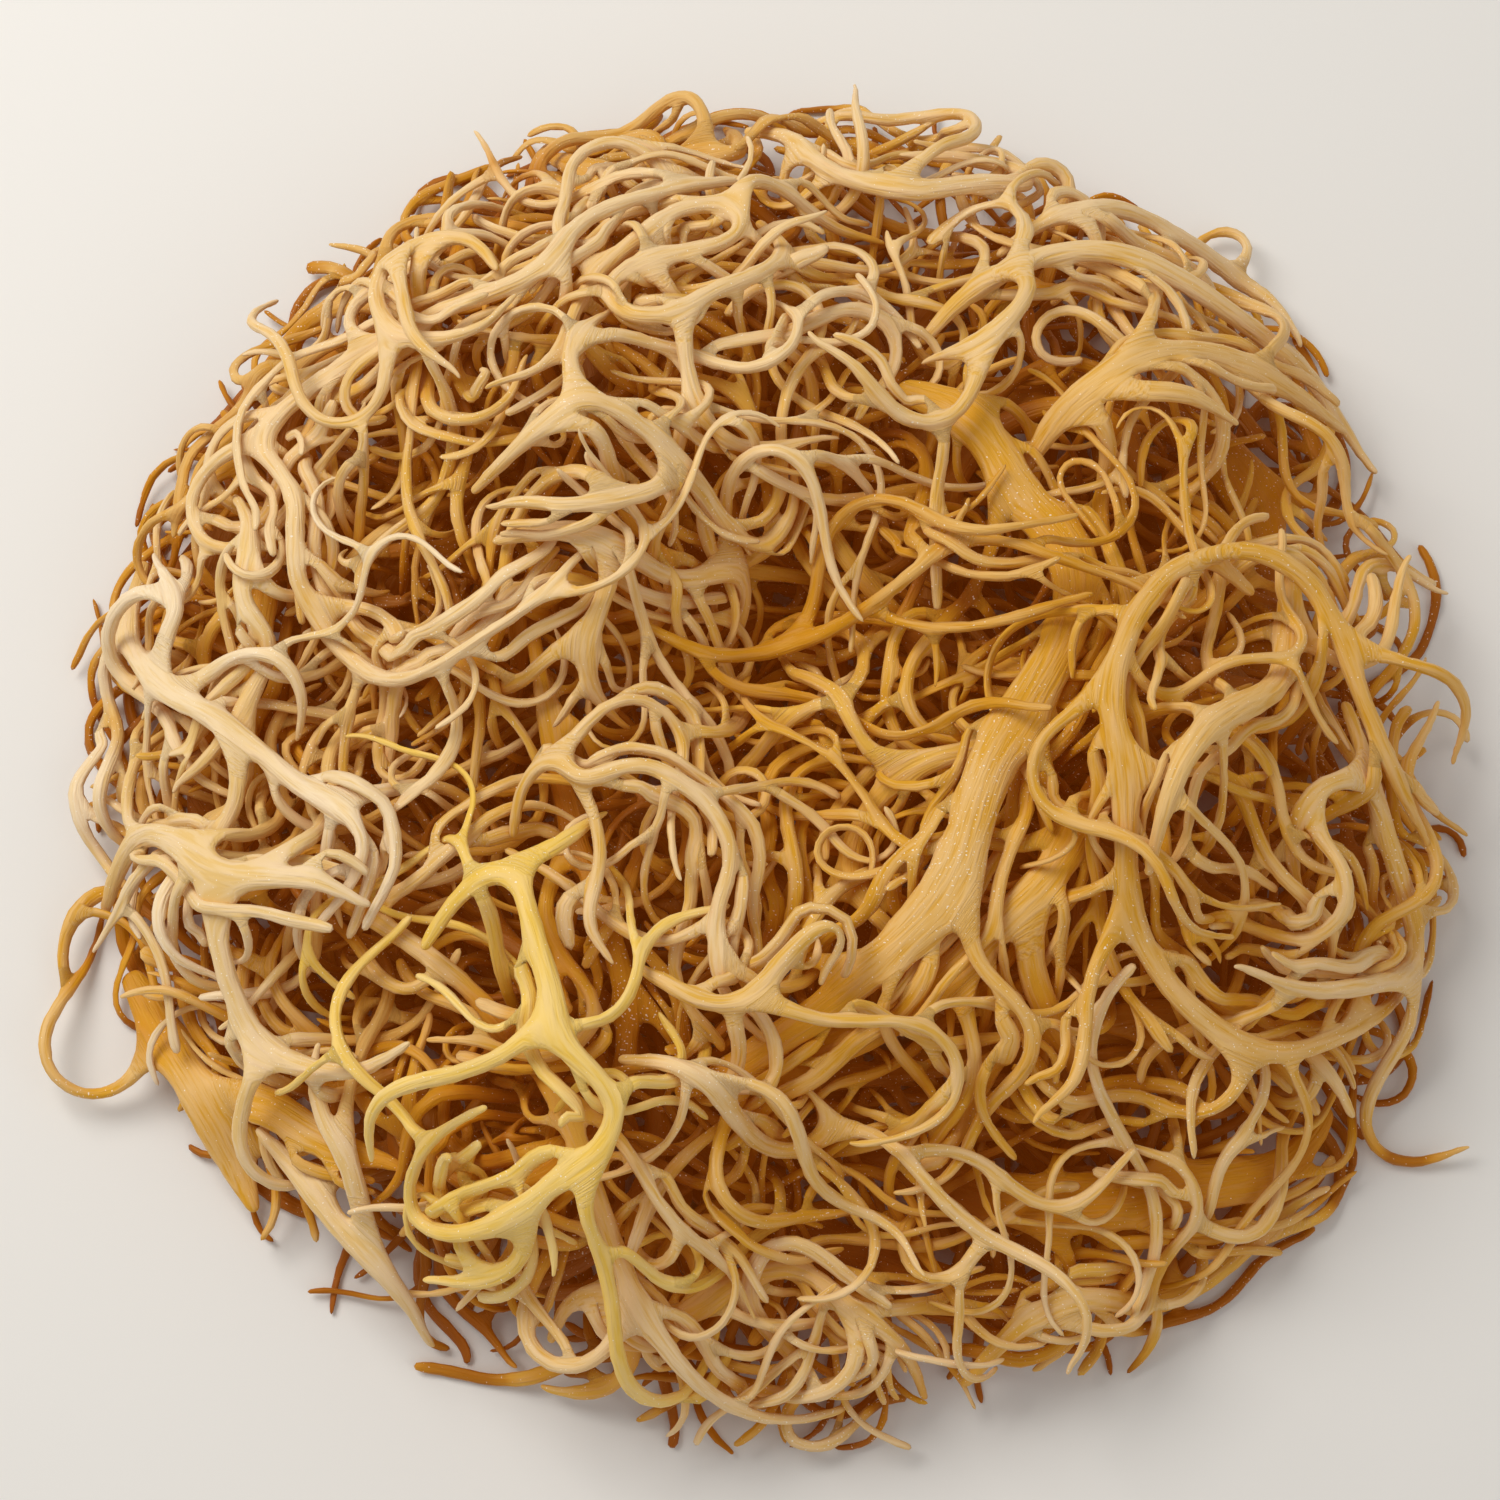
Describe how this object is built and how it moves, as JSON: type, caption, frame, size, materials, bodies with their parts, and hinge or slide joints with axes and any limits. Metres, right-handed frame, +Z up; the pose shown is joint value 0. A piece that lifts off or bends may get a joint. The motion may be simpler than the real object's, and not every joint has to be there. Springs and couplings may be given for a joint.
{
  "type": "dried sea moss clump",
  "caption": "Loose round clump of dried golden sea moss: curling, forking strands of separate sprigs, hooked into each other in a low heap.",
  "frame": {"origin": "middle of the clump's bounding box, on the surface that it lies on", "axes": "+Z up from the surface; +X to the right and +Y away from the viewer as the clump is seen from above"},
  "size_m": [0.184, 0.178, 0.0497],
  "materials": {
    "cream": "cream-gold dried sea moss, satin, slightly translucent",
    "gold": "golden dried sea moss, satin, translucent",
    "amber": "deep amber dried sea moss, satin, translucent",
    "yellow": "lemon-yellow dried sea moss, satin, translucent",
    "pale": "bleached, whitish dried sea moss, satin, translucent"
  },
  "bodies": {
    "root": {"bed_sprig_01": "amber", "bed_sprig_02": "amber", "bed_sprig_03": "amber", "bed_sprig_04": "amber", "bed_sprig_05": "amber", "bed_sprig_06": "amber", "bed_sprig_07": "amber", "bed_sprig_08": "amber", "bed_sprig_09": "amber", "bed_sprig_10": "amber", "bed_sprig_11": "amber", "bed_sprig_12": "amber", "bridge_sprig": "amber", "corner_sprig": "gold", "crown_sprig": "cream", "curl_head_loop": "cream", "curl_head_sprig": "cream", "deep_trunk_sprig": "amber", "fill_sprig_01": "gold", "fill_sprig_02": "gold", "fill_sprig_03": "cream", "fill_sprig_04": "cream", "fill_sprig_05": "cream", "fill_sprig_06": "cream", "fill_sprig_07": "cream", "fill_sprig_08": "amber", "golden_trunk_sprig": "gold", "hook_sprig": "cream", "inner_curl_sprig": "cream", "left_bundle_sprig": "pale", "left_pale_sprig": "pale", "left_white_sprig": "pale", "long_arc_sprig": "cream", "low_hook_sprig": "cream", "lower_curl_sprig": "cream", "north_sprig": "amber", "north_west_sprig": "amber", "right_arch_sprig": "gold", "right_limb_sprig": "gold", "right_rim_sprig": "cream", "ring_sprig": "cream", "second_arc_sprig": "gold", "side_loop_sprig": "cream", "south_east_sprig": "cream", "south_sprig": "cream", "south_west_sprig": "pale", "twin_trunk_sprig": "gold", "upper_arc_sprig": "cream", "yellow_sprig": "yellow"}
  },
  "joints": []
}
